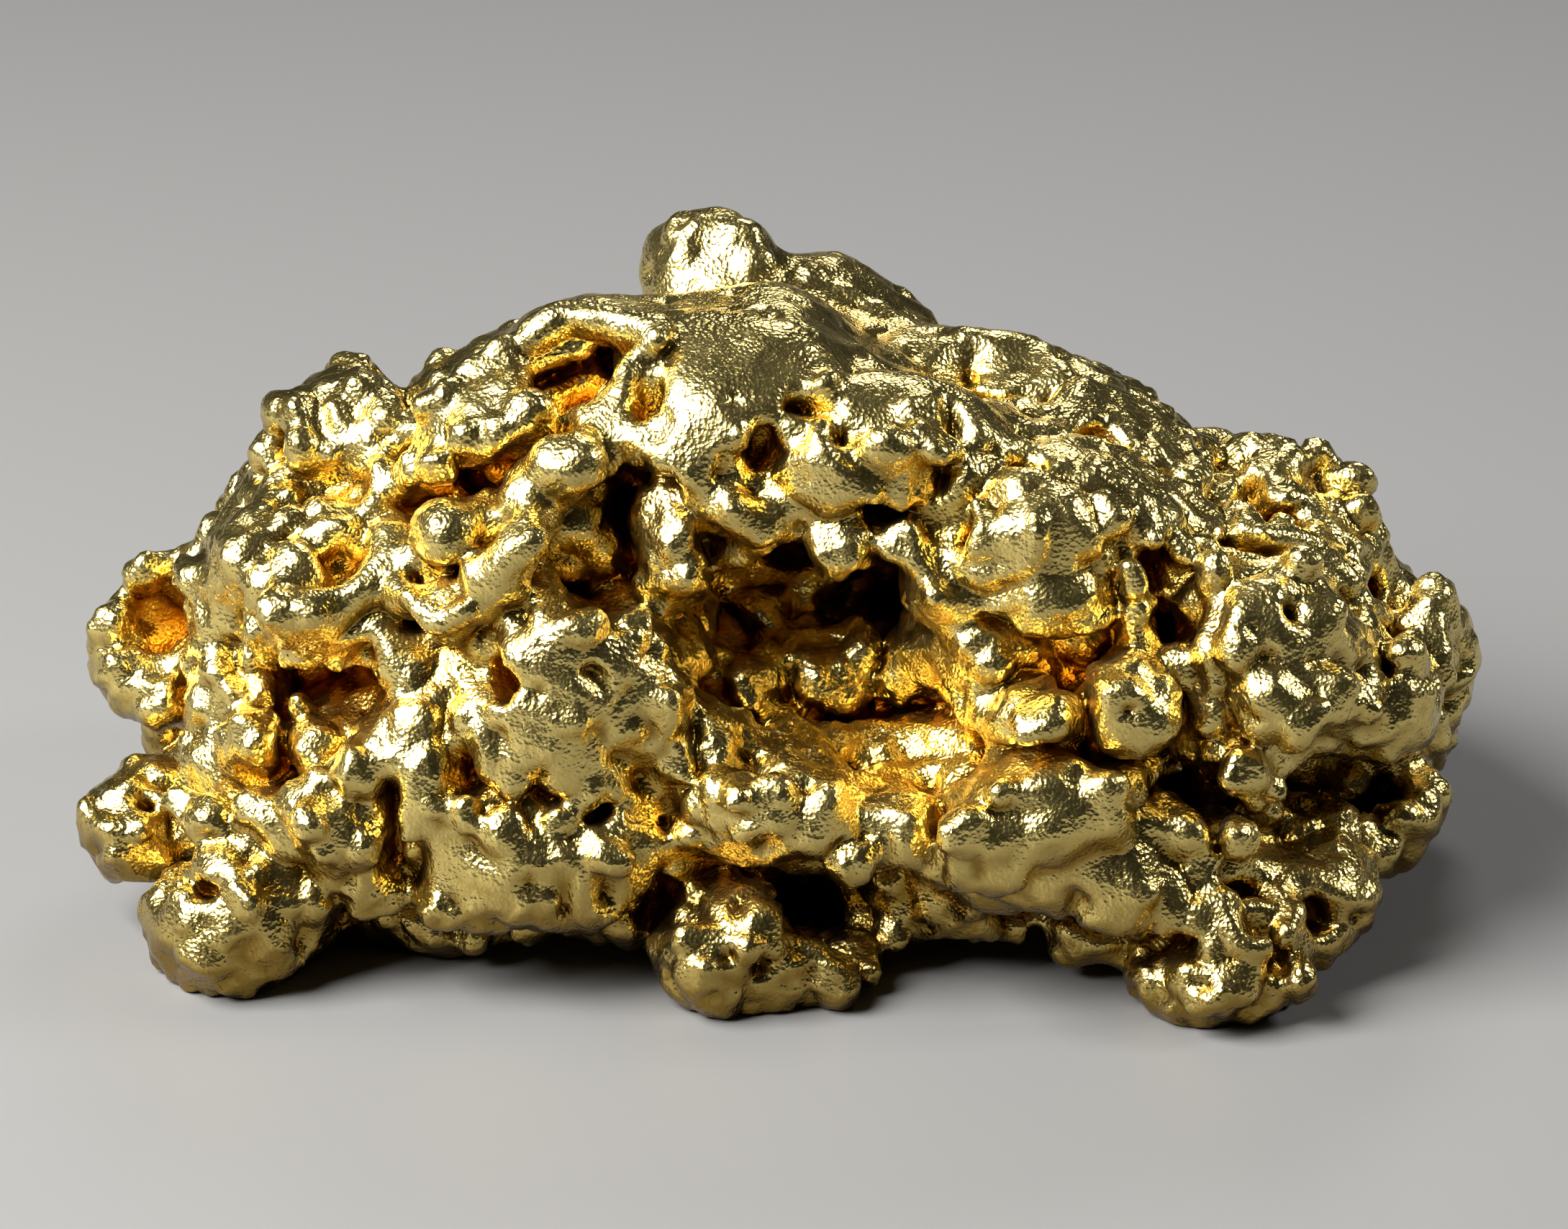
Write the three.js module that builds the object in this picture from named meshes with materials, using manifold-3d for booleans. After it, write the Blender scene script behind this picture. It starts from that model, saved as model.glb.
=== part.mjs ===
// A gold nugget: one natural piece of native gold, lying on its flattest side.
// Millimetres, +Z up, +X along its length, its steep pitted face towards -Y.
// The nugget is grown from rounded lobes that run into each other, then hollowed
// by the cavities that open in its faces, and worn flat where it stands.

import * as THREE from "three";
import { mergeVertices } from "three/addons/utils/BufferGeometryUtils.js";
import { ImprovedNoise } from "three/addons/math/ImprovedNoise.js";
import Module from "manifold-3d";

const wasm = await Module();
wasm.setup();

// Driving dimensions of the finished nugget.
const LENGTH = 20;
const DEPTH = 11.8;
const HEIGHT = 9.2;

// Lumps of every surface: how far they swell, and how far apart they are.
const LUMP_HEIGHT = 0.42;
const LUMP_SPACING = 1.9;
const SMALL_LUMP_HEIGHT = 0.16;
const SMALL_LUMP_SPACING = 0.8;

// Length of a facet's edge.
const FACET = 0.7;

// Each lobe: centre x, y, z, half-sizes x, y, z, and lean about Y in degrees.
const BODY = [
  [0.4, 0.5, 3.9, 6.4, 4.8, 4.1, 0], // heart of the nugget
  [-5.2, 0.4, 3.5, 3.5, 4.2, 3.3, 0], // left half
  [5.8, 0.2, 3.1, 3.4, 4.5, 3.0, 0], // right half
  [-3.6, -2.0, 2.2, 4.6, 2.8, 2.3, 0], // foot of the front, left
  [3.6, -2.2, 2.2, 4.6, 2.9, 2.3, 0], // foot of the front, right
  [-0.9, -0.3, 6.6, 3.8, 2.7, 2.3, 4], // crest
  [3.2, 0.1, 5.8, 3.5, 3.0, 1.9, 16], // crest falling to the right
  [-3.6, 0.2, 6.1, 2.2, 2.6, 1.9, -20], // left shoulder of the crest
];

const LOBES = [
  // Peak behind the crest.
  [-0.9, 3.1, 7.8, 1.2, 1.5, 1.2, 0],
  [0.6, 3.2, 7.3, 1.5, 1.6, 1.0, 20],
  // Left end.
  [-8.6, 0.5, 3.4, 1.3, 1.6, 1.25, 0],
  [-7.5, -1.0, 3.3, 0.9, 1.2, 1.7, 0],
  [-8.9, -1.6, 1.4, 1.0, 1.3, 0.9, 0],
  [-8.0, -2.5, 2.3, 1.1, 1.1, 0.9, 10],
  [-7.3, -3.6, 0.9, 1.4, 1.2, 1.1, 0],
  // Upper left knob, and the swirl under it.
  [-6.3, 0.3, 6.2, 1.15, 1.3, 1.35, 0],
  [-6.3, -1.3, 5.1, 1.6, 1.5, 1.3, 0],
  // Long fold down the left of the front.
  [-4.2, -2.5, 5.6, 0.8, 1.0, 1.8, 38],
  [-3.0, -2.2, 6.8, 0.7, 0.9, 1.2, 48],
  [-3.8, -1.3, 7.4, 1.3, 1.1, 0.9, -24],
  // Front wall, left of the great cavity.
  [-3.0, -3.2, 4.0, 1.7, 1.4, 2.0, 0],
  [-5.6, -3.1, 2.6, 1.6, 1.4, 1.2, 0],
  [-3.3, -3.9, 1.9, 1.8, 1.2, 1.1, 0],
  // Middle foot, and the sill above it.
  [-0.6, -4.2, 0.8, 1.1, 1.3, 1.1, 0],
  [0.7, -4.2, 0.7, 0.9, 0.9, 0.9, 0],
  [-0.3, -3.9, 2.5, 1.6, 1.1, 0.9, 0],
  // Great front lobe, right of the middle.
  [4.0, -4.3, 2.2, 1.8, 1.25, 1.45, 0],
  [3.3, -4.0, 3.9, 0.8, 0.95, 0.8, 0],
  [4.6, -4.0, 4.2, 0.7, 0.9, 0.8, 0],
  // Right front foot.
  [6.1, -4.2, 0.9, 1.2, 1.3, 1.1, 0],
  [7.3, -3.6, 1.1, 1.0, 1.1, 0.8, 0],
  // Smooth right shoulder.
  [6.8, -2.8, 4.3, 1.4, 1.4, 1.5, 0],
  [7.8, -1.8, 3.2, 1.3, 1.4, 1.1, 12],
  // Right end.
  [8.9, -0.2, 3.1, 0.95, 1.3, 1.3, 0],
  [8.4, -1.6, 1.6, 1.1, 1.2, 0.9, -10],
  [7.6, 1.5, 4.1, 0.9, 1.1, 0.8, 0],
  // Broad smooth brow over the great cavity.
  [1.3, -1.8, 6.9, 2.1, 1.6, 1.3, 8],
  [4.0, -2.3, 5.9, 1.8, 1.4, 1.2, 24],
  [-1.3, -1.5, 7.4, 1.5, 1.3, 1.1, 0],
  // Back and top.
  [5.0, 2.1, 4.9, 2.2, 1.9, 1.1, 16],
  [2.3, 3.8, 4.6, 2.1, 1.7, 1.8, 0],
  [-3.0, 3.5, 4.9, 2.1, 1.7, 1.8, 0],
  [-4.9, 3.7, 3.4, 1.7, 1.6, 1.6, 0],
  [-7.0, 2.3, 2.6, 1.6, 1.7, 1.6, 0],
  [-8.3, 2.0, 1.1, 0.9, 1.1, 0.9, 0],
  [-1.7, 4.9, 3.9, 1.1, 0.9, 1.2, 0],
  [-1.2, 4.6, 1.5, 2.1, 1.3, 1.4, 0],
  [1.7, 5.1, 2.3, 1.1, 0.9, 1.1, 0],
  [-4.6, 3.6, 1.0, 1.6, 1.3, 1.1, 0],
  [3.6, 4.4, 1.0, 1.4, 1.1, 1.0, 0],
  [5.0, 4.2, 2.7, 1.3, 1.1, 1.4, 0],
  [7.0, 2.9, 2.2, 1.6, 1.6, 1.4, 0],
  [8.7, 1.6, 1.6, 0.9, 1.2, 1.0, 0],
];

// Cavities: the same numbers as for lobes.
const HOLLOWS = [
  // Great cavity under the brow, and its side chambers.
  [0.7, -3.9, 4.6, 1.9, 2.1, 1.3, 4],
  [0.1, -3.0, 5.7, 0.7, 1.5, 0.65, 0],
  [1.9, -3.9, 3.4, 0.9, 1.1, 0.55, 0],
  [-1.0, -3.9, 5.2, 0.7, 1.2, 0.65, 0],
  // Upright slot left of the smooth right shoulder.
  [5.35, -4.1, 4.6, 0.5, 1.3, 1.6, 0],
  [5.6, -4.7, 3.0, 0.6, 1.2, 1.0, 0],
  // Cavities under the right shoulder.
  [7.3, -4.0, 2.4, 1.0, 1.2, 0.6, 0],
  [8.5, -2.8, 2.3, 0.7, 1.0, 0.5, 0],
  // Cleft between the middle foot and the great front lobe.
  [1.7, -5.0, 1.4, 0.75, 1.0, 0.9, 0],
  // Pits of the left half.
  [-3.2, -2.3, 7.0, 0.8, 0.9, 0.5, -20],
  [-4.9, -2.3, 6.2, 0.8, 1.0, 0.45, -14],
  [-2.3, -3.3, 5.9, 0.55, 1.0, 0.7, 20],
  [-6.2, -3.4, 3.9, 1.2, 1.2, 0.5, -14],
  [-8.3, -3.1, 1.7, 0.8, 0.9, 0.45, 0],
  [-5.2, -4.4, 1.9, 0.45, 0.9, 0.65, 0],
  [-8.9, -0.9, 4.0, 0.7, 0.9, 0.6, 0],
  // Pits of the top right.
  [7.0, 0.6, 4.9, 0.8, 1.0, 0.6, 0],
  [8.4, -0.7, 4.2, 0.8, 0.7, 0.5, 0],
  [3.2, 0.0, 7.7, 1.0, 0.8, 0.5, 14],
  // Pits of the back.
  [-0.2, 5.8, 3.0, 0.7, 1.1, 0.7, 0],
  [3.4, 5.6, 3.4, 0.8, 1.2, 0.9, 0],
  [-3.5, 5.3, 3.4, 0.8, 1.0, 1.0, 0],
  [-6.5, 4.3, 1.8, 0.7, 0.9, 0.8, 0],
  [6.4, 4.9, 1.2, 0.8, 1.2, 0.7, 0],
  [0.7, 4.9, 6.1, 0.8, 1.1, 0.6, 0],
  [-6.2, 3.6, 5.1, 0.8, 1.0, 0.6, 0],
  // Arches between the feet.
  [-3.0, -4.9, 0.0, 1.6, 3.0, 0.8, 0],
  [3.4, -4.2, -0.2, 1.7, 2.6, 0.8, 0],
  [-2.9, 4.9, -0.2, 0.9, 1.6, 0.8, 0],
  [1.7, 4.9, -0.2, 0.9, 1.9, 0.7, 0],
  // Hollows of the underside.
  [-0.7, 0.4, -0.2, 1.7, 1.4, 0.7, 0],
  [-5.9, 0.9, -0.2, 1.2, 1.5, 0.8, 0],
  [6.3, 0.6, -0.2, 1.3, 1.1, 0.7, 0],
];

const noise = new ImprovedNoise();

// Smooth noise from about -1 to 1, at a point in millimetres.
function lumpAt(p, spacing) {
  return noise.noise(p.x / spacing, p.y / spacing, p.z / spacing);
}

// A three.js geometry as a solid that can be joined and cut.
function solid(geometry) {
  const bare = geometry.clone();
  bare.deleteAttribute("normal");
  bare.deleteAttribute("uv");
  const merged = mergeVertices(bare, 1e-4);
  return new wasm.Manifold(
    new wasm.Mesh({
      numProp: 3,
      vertProperties: merged.attributes.position.array,
      triVerts: new Uint32Array(merged.index.array),
    }),
  );
}

// One lumpy ellipsoid, in place.
function lump([x, y, z, halfX, halfY, halfZ, lean]) {
  const meanHalf = Math.cbrt(halfX * halfY * halfZ);
  const geometry = new THREE.IcosahedronGeometry(
    1,
    Math.max(1, Math.round(meanHalf / FACET) - 1),
  );
  const place = new THREE.Matrix4().compose(
    new THREE.Vector3(x, y, z),
    new THREE.Quaternion().setFromAxisAngle(
      new THREE.Vector3(0, 1, 0),
      THREE.MathUtils.degToRad(lean),
    ),
    new THREE.Vector3(halfX, halfY, halfZ),
  );
  const points = geometry.attributes.position;
  const centre = new THREE.Vector3(x, y, z);
  const point = new THREE.Vector3();
  const outward = new THREE.Vector3();
  for (let i = 0; i < points.count; i++) {
    point.fromBufferAttribute(points, i).applyMatrix4(place);
    outward.subVectors(point, centre).normalize();
    const swell =
      LUMP_HEIGHT * lumpAt(point, LUMP_SPACING) +
      SMALL_LUMP_HEIGHT * lumpAt(point, SMALL_LUMP_SPACING);
    point.addScaledVector(outward, swell);
    points.setXYZ(i, point.x, point.y, point.z);
  }
  return solid(geometry);
}

const grown = wasm.Manifold.union([...BODY, ...LOBES].map(lump));
const hollowed = grown.subtract(wasm.Manifold.union(HOLLOWS.map(lump)));

// What lies under the standing plane is worn away.
const ground = new THREE.BoxGeometry(3 * LENGTH, 3 * DEPTH, HEIGHT);
ground.translate(0, 0, -HEIGHT / 2);
const worn = hollowed.subtract(solid(ground));

// The largest body, without crumbs that a hollow may have cut loose.
const whole = worn
  .decompose()
  .reduce((a, b) => (a.volume() > b.volume() ? a : b));

const made = whole.getMesh();
const geometry = new THREE.BufferGeometry()
  .setAttribute("position", new THREE.BufferAttribute(made.vertProperties, 3))
  .setIndex(new THREE.BufferAttribute(made.triVerts, 1));

// Brought to its exact size, centred, and standing at height 0.
geometry.computeBoundingBox();
const size = geometry.boundingBox.getSize(new THREE.Vector3());
const middle = geometry.boundingBox.getCenter(new THREE.Vector3());
geometry.translate(-middle.x, -middle.y, -geometry.boundingBox.min.z);
geometry.scale(LENGTH / size.x, DEPTH / size.y, HEIGHT / size.z);

const nugget = new THREE.Mesh(
  geometry,
  new THREE.MeshStandardMaterial({
    color: 0xd9b45a,
    roughness: 0.32,
    metalness: 1,
  }),
);
nugget.name = "nugget";

const part = new THREE.Group();
part.add(nugget);

export default part;
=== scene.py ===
import math

import bpy
import numpy as np
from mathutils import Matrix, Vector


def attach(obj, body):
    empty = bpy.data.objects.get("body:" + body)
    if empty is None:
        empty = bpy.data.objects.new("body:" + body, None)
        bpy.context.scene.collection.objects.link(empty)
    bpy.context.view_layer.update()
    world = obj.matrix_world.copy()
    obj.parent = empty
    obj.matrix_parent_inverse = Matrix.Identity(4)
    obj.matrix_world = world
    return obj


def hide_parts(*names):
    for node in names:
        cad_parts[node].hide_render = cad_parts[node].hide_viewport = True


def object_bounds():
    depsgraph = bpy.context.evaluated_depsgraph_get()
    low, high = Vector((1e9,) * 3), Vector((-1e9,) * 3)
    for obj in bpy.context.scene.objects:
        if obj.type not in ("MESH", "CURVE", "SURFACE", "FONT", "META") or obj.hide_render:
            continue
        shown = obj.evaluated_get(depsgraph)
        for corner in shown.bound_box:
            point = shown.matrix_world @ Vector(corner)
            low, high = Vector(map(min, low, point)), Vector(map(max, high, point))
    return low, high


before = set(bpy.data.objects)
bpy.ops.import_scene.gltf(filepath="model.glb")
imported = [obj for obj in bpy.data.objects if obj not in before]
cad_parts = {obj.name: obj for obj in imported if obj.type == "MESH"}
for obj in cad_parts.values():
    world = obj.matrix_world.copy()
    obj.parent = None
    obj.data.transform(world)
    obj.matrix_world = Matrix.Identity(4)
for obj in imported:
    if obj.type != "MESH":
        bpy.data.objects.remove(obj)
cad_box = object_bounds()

import openvdb
from mathutils import Matrix, Vector

# A nugget of native gold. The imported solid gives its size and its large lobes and
# hollows. Here it is turned into clay, a block of small cells that each know how far
# the surface is, and the clay is pinched, pierced and beaded until it is the spongy,
# water-worn skin of the real thing. All the sculpting is in millimetres.

MM = 0.001
CELL = 0.058  # size of a clay cell
BAND = 12  # cells either side of the surface that know their distance
MARGIN = 14  # empty cells kept round the clay
MESH_BAND = 3  # cells either side of the surface that a mesh is read from
SMEAR_REACH = 3  # a blur stops at this many times its spread
SLOPE_PROBE = 0.8  # how far round a point the clay's slope is felt, in cells
TRIANGLES = 196000  # what the finished skin is thinned to
SEED = 47
TINY = 1e-9  # keeps a division from meeting zero

# The steep face leans back by this much. Marks on it are placed square to it, by their
# distance across (to the right) and up (along the lean) from the middle of the base.
FACE_LEAN = math.radians(22)
FACE_IN = Vector((0, math.cos(FACE_LEAN), -math.sin(FACE_LEAN)))
FACE_UP = Vector((0, math.sin(FACE_LEAN), math.cos(FACE_LEAN)))
FACE_START = 9  # a line square to the face starts this far out, and is twice as long
FACE_PROBE = 0.2  # how far round a point the clay's own slope is felt
FACE_SHARE = 0.7  # how much the whole face's lean counts beside that slope


# ---------------------------------------------------------------- clay


class Clay:
    """A block of cells, each holding its distance to the surface in millimetres,
    negative inside the metal."""

    def __init__(self, low, values):
        self.low = low  # cell number of the first cell, along X, Y and Z
        self.values = values
        self.ragged = None  # unevenness that every tool follows

    def place(self, axis):
        """Where the cells lie along one axis, in millimetres."""
        count = self.values.shape[axis]
        return (np.arange(count, dtype=np.float32) + self.low[axis]) * CELL

    def window(self, centre, reach):
        """The part of the block within reach of a point, and where its cells lie."""
        parts, places = [], []
        for axis in range(3):
            first = int((centre[axis] - reach) / CELL) - self.low[axis] - 1
            last = int((centre[axis] + reach) / CELL) - self.low[axis] + 2
            first = max(first, 0)
            last = min(max(last, first + 1), self.values.shape[axis])
            parts.append(slice(first, last))
            places.append(self.place(axis)[first:last] - centre[axis])
        x, y, z = places
        return tuple(parts), (x[:, None, None], y[None, :, None], z[None, None, :])

    def sample(self, values, points):
        """Values of a block of the same shape, read between its cells at the points."""
        spot = points / CELL - np.array(self.low)
        limit = np.array(values.shape) - 2
        base = np.clip(np.floor(spot).astype(int), 0, limit)
        part = np.clip(spot - base, 0, 1)
        total = np.zeros(len(points), dtype=np.float32)
        for corner in np.ndindex(2, 2, 2):
            at = base + corner
            weight = np.prod(np.where(corner, part, 1 - part), axis=1)
            total += weight * values[at[:, 0], at[:, 1], at[:, 2]]
        return total


def clay_from(node):
    """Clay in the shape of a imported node."""
    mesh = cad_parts[node].data
    points = np.empty(len(mesh.vertices) * 3, dtype=np.float32)
    mesh.vertices.foreach_get("co", points)
    points = points.reshape(-1, 3) / MM
    mesh.calc_loop_triangles()
    corners = np.empty(len(mesh.loop_triangles) * 3, dtype=np.int32)
    mesh.loop_triangles.foreach_get("vertices", corners)
    grid = openvdb.FloatGrid.createLevelSetFromPolygons(
        points,
        triangles=corners.reshape(-1, 3).astype(np.uint32),
        transform=openvdb.createLinearTransform(voxelSize=CELL),
        halfWidth=BAND,
    )
    low = np.floor(points.min(axis=0) / CELL).astype(int) - MARGIN
    high = np.ceil(points.max(axis=0) / CELL).astype(int) + MARGIN
    values = np.empty(high - low, dtype=np.float32)
    grid.copyToArray(values, ijk=tuple(int(v) for v in low))
    return Clay([int(v) for v in low], values)


def smear(values, spread):
    """The block blurred over a distance in millimetres."""
    width = spread / CELL
    reach = int(math.ceil(SMEAR_REACH * width))
    weights = np.exp(-0.5 * (np.arange(-reach, reach + 1) / width) ** 2)
    weights = (weights / weights.sum()).astype(np.float32)
    for axis in range(3):
        pad = [(0, 0)] * 3
        pad[axis] = (reach, reach)
        padded = np.pad(values, pad, mode="edge")
        blurred = np.zeros_like(values)
        for step, weight in enumerate(weights):
            cut = [slice(None)] * 3
            cut[axis] = slice(step, step + values.shape[axis])
            blurred += weight * padded[tuple(cut)]
        values = blurred
    return values


def lumps(clay, spacing, seed):
    """Smooth random swells over the whole block, about as far apart as spacing, with
    an average of 0 and a spread of 1: a coarse block of random numbers, blended by
    cubic splines along each axis."""
    random = np.random.default_rng(SEED * 1000 + seed)
    sizes = [int(n * CELL / spacing) + 5 for n in clay.values.shape]
    values = random.standard_normal(sizes).astype(np.float32)
    for axis, count in enumerate(clay.values.shape):
        spot = np.arange(count) * CELL / spacing + 1
        base = np.floor(spot).astype(int)
        t = spot - base
        weights = np.zeros((count, sizes[axis]), dtype=np.float32)
        rows = np.arange(count)
        weights[rows, base - 1] = (1 - t) ** 3 / 6
        weights[rows, base] = (3 * t**3 - 6 * t**2 + 4) / 6
        weights[rows, base + 1] = (-3 * t**3 + 3 * t**2 + 3 * t + 1) / 6
        weights[rows, base + 2] = t**3 / 6
        values = np.moveaxis(np.tensordot(weights, values, (1, axis)), 0, axis)
    return (values - values.mean()) / values.std()


def blend_low(a, b, soft):
    """The lower of two distances, rounded off where they meet: joins two shapes."""
    mix = np.clip(0.5 + 0.5 * (b - a) / soft, 0, 1)
    return b + (a - b) * mix - soft * mix * (1 - mix)


def blend_high(a, b, soft):
    """The higher of two distances, rounded off where they meet: cuts one from another."""
    return -blend_low(-a, -b, soft)


def step_up(values, start, end):
    """0 below start, 1 above end, and smooth between them."""
    t = np.clip((values - start) / (end - start), 0, 1)
    return t * t * (3 - 2 * t)


# ---------------------------------------------------------------- tools

# How far a tool's outline wanders: the most, and the most as a share of its size.
RAGGED, RAGGED_SHARE = 0.09, 0.3
EGG_SLOPE = 1e-6  # least slope allowed at an egg's very middle
EGG_REACH = 1.3  # how far out an egg can touch the clay, as a share of its length
LIP_SINK = 0.35  # how far a pit's lip is let into the skin, as a share of its thickness
LIP_SOFT = 1.2  # how softly the lip joins the skin, as a share of its thickness
LIP_REACH = 3  # how far past its pit a lip can touch the clay, in its thicknesses
ALONG_X = 0.2  # below this a tool points too nearly along X to be squared to it


def turned(places, frame_of):
    """Cell places in a tool's own directions, which are the rows of frame_of."""
    x, y, z = places
    return [row[0] * x + row[1] * y + row[2] * z for row in frame_of]


def directions(out, turn=0.0):
    """A tool's directions: two along the surface, turned about it, and one out of it."""
    out = Vector(out).normalized()
    across = Vector((1, 0, 0)) - out * out.x
    if across.length < ALONG_X:
        across = Vector((0, 1, 0)) - out * out.y
    across.normalize()
    across = Matrix.Rotation(turn, 3, out) @ across
    return [across, out.cross(across), out]


def egg(places, halves):
    """Distance to an egg of those half-sizes."""
    scaled = [p / h for p, h in zip(places, halves)]
    near = np.sqrt(sum(s * s for s in scaled))
    slope = np.sqrt(sum((s / h) ** 2 for s, h in zip(scaled, halves)))
    return near * (near - 1) / np.maximum(slope, EGG_SLOPE)


def uneven(clay, part, size):
    """How far the outline of a tool of that size wanders."""
    return min(RAGGED_SHARE * size, RAGGED) * clay.ragged[part]


def add_egg(clay, centre, halves, out, turn=0.0, soft=0.1):
    """Presses an uneven egg-shaped lump into the clay."""
    part, places = clay.window(centre, EGG_REACH * max(halves) + soft)
    shape = egg(turned(places, directions(out, turn)), halves)
    shape = shape + uneven(clay, part, min(halves))
    clay.values[part] = blend_low(clay.values[part], shape, soft)


def cut_egg(clay, centre, halves, out, turn=0.0, soft=0.1, lip=0.0):
    """Scoops an egg-shaped hollow, with a raised lip of that thickness at its mouth."""
    part, places = clay.window(centre, EGG_REACH * max(halves) + LIP_REACH * lip + soft)
    own = turned(places, directions(out, turn))
    block = clay.values[part]
    stray = uneven(clay, part, min(halves[0], halves[1]))
    if lip:
        ring = np.hypot(own[0] / halves[0], own[1] / halves[1])
        ring = (ring - 1) * min(halves[0], halves[1]) + stray
        ring = np.hypot(ring, block + LIP_SINK * lip)
        block = blend_low(block, ring - lip, LIP_SOFT * lip)
    clay.values[part] = blend_high(block, -egg(own, halves) - stray, soft)


def curved(points):
    """A smooth path through the points, with two more between each pair."""
    ends = [points[0], *points, points[-1]]
    path = []
    for a, b, c, d in zip(ends, ends[1:], ends[2:], ends[3:]):
        for t in (0, 1 / 3, 2 / 3):
            bend = (2 * a - 5 * b + 4 * c - d) * t + (3 * b - a - 3 * c + d) * t * t
            path.append(b + (c - a + bend) * t / 2)
    return [*path, points[-1]]


def add_worm(clay, points, thick, soft=0.08):
    """Lays a round-backed ridge along a smooth path through the points."""
    path = curved(points)
    low = Vector([min(point[i] for point in path) for i in range(3)])
    high = Vector([max(point[i] for point in path) for i in range(3)])
    centre = (low + high) / 2
    part, (x, y, z) = clay.window(centre, max(high - low) / 2 + thick + soft)
    nearest = np.float32(np.inf)
    for start, end in zip(path, path[1:]):
        half = (end - start) / 2
        dx, dy, dz = (p - m for p, m in zip((x, y, z), start + half - centre))
        along = (dx * half.x + dy * half.y + dz * half.z) / max(half.length_squared, TINY)
        along = np.clip(along, -1, 1)
        gap = (dx - along * half.x) ** 2 + (dy - along * half.y) ** 2
        nearest = np.minimum(nearest, gap + (dz - along * half.z) ** 2)
    gap = np.sqrt(nearest) + uneven(clay, part, thick / 2)
    clay.values[part] = blend_low(clay.values[part], gap - thick, soft)


# ---------------------------------------------------------------- meshes


def mesh_arrays(clay):
    """The clay's surface as corner points in millimetres and four-sided faces."""
    limit = CELL * MESH_BAND
    grid = openvdb.FloatGrid(limit)
    grid.copyFromArray(np.clip(clay.values, -limit, limit), ijk=tuple(clay.low))
    grid.transform = openvdb.createLinearTransform(voxelSize=CELL)
    points, quads = grid.convertToQuads(isovalue=0)
    quads = quads.astype(np.int64)
    a, b, c, d = (points[quads[:, i]] for i in range(4))
    if np.einsum("ij,ij->", a + c, np.cross(b - a, d - a)) < 0:
        quads = quads[:, ::-1]
    return points, quads


def worn(clay, radius):
    """Rounds every edge and tip to at least that radius, as tumbling in gravel does."""
    points, quads = mesh_arrays(Clay(clay.low, clay.values + radius))
    grid = openvdb.FloatGrid.createLevelSetFromPolygons(
        points,
        quads=quads.astype(np.uint32),
        transform=openvdb.createLinearTransform(voxelSize=CELL),
        halfWidth=BAND,
    )
    values = np.empty_like(clay.values)
    grid.copyToArray(values, ijk=tuple(clay.low))
    return values - radius


def largest_shell(points, quads):
    """Only the biggest joined surface: no crumbs outside and no bubbles inside."""
    label = np.arange(len(points))
    edges = np.concatenate([quads[:, [0, 1]], quads[:, [1, 2]], quads[:, [2, 3]]])
    while True:
        low = np.minimum(label[edges[:, 0]], label[edges[:, 1]])
        new = label.copy()
        np.minimum.at(new, edges[:, 0], low)
        np.minimum.at(new, edges[:, 1], low)
        new = new[new]
        if np.array_equal(new, label):
            break
        label = new
    names, counts = np.unique(label, return_counts=True)
    keep = label == names[counts.argmax()]
    number = np.cumsum(keep) - 1
    return points[keep], number[quads[keep[quads[:, 0]]]]


def mesh_object(name, points, faces):
    """A linked mesh object, from points in millimetres."""
    mesh = bpy.data.meshes.new(name)
    sides = faces.shape[1]
    mesh.vertices.add(len(points))
    mesh.vertices.foreach_set("co", (points * MM).astype(np.float32).ravel())
    mesh.loops.add(faces.size)
    mesh.loops.foreach_set("vertex_index", faces.astype(np.int32).ravel())
    mesh.polygons.add(len(faces))
    mesh.polygons.foreach_set("loop_start", np.arange(0, faces.size, sides, dtype=np.int32))
    mesh.polygons.foreach_set("use_smooth", np.ones(len(faces), dtype=bool))
    mesh.update(calc_edges=True)
    thing = bpy.data.objects.new(name, mesh)
    bpy.context.scene.collection.objects.link(thing)
    return thing


def settled(thing):
    """Turns an object's modifiers into plain mesh."""
    seen = thing.evaluated_get(bpy.context.evaluated_depsgraph_get())
    mesh = bpy.data.meshes.new_from_object(seen)
    old = thing.data
    thing.modifiers.clear()
    thing.data = mesh
    bpy.data.meshes.remove(old)
    return thing


def clay_slope(clay, places):
    """The way out of the clay at some places."""
    slope = np.empty_like(places)
    for axis, step in enumerate(np.eye(3) * SLOPE_PROBE * CELL):
        ahead = clay.sample(clay.values, places + step)
        slope[:, axis] = ahead - clay.sample(clay.values, places - step)
    return slope / np.maximum(np.linalg.norm(slope, axis=1, keepdims=True), TINY)


def vertex_places(thing):
    """Where a mesh's points are, in millimetres."""
    places = np.empty(len(thing.data.vertices) * 3, dtype=np.float32)
    thing.data.vertices.foreach_get("co", places)
    return places.reshape(-1, 3) / MM


# ---------------------------------------------------------------- sowing

PLENTY = 5e7  # plugs per square metre that are tried before the spacing thins them
PLUG_CORNERS = 12  # a plug's first and last corners are its two poles


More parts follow.
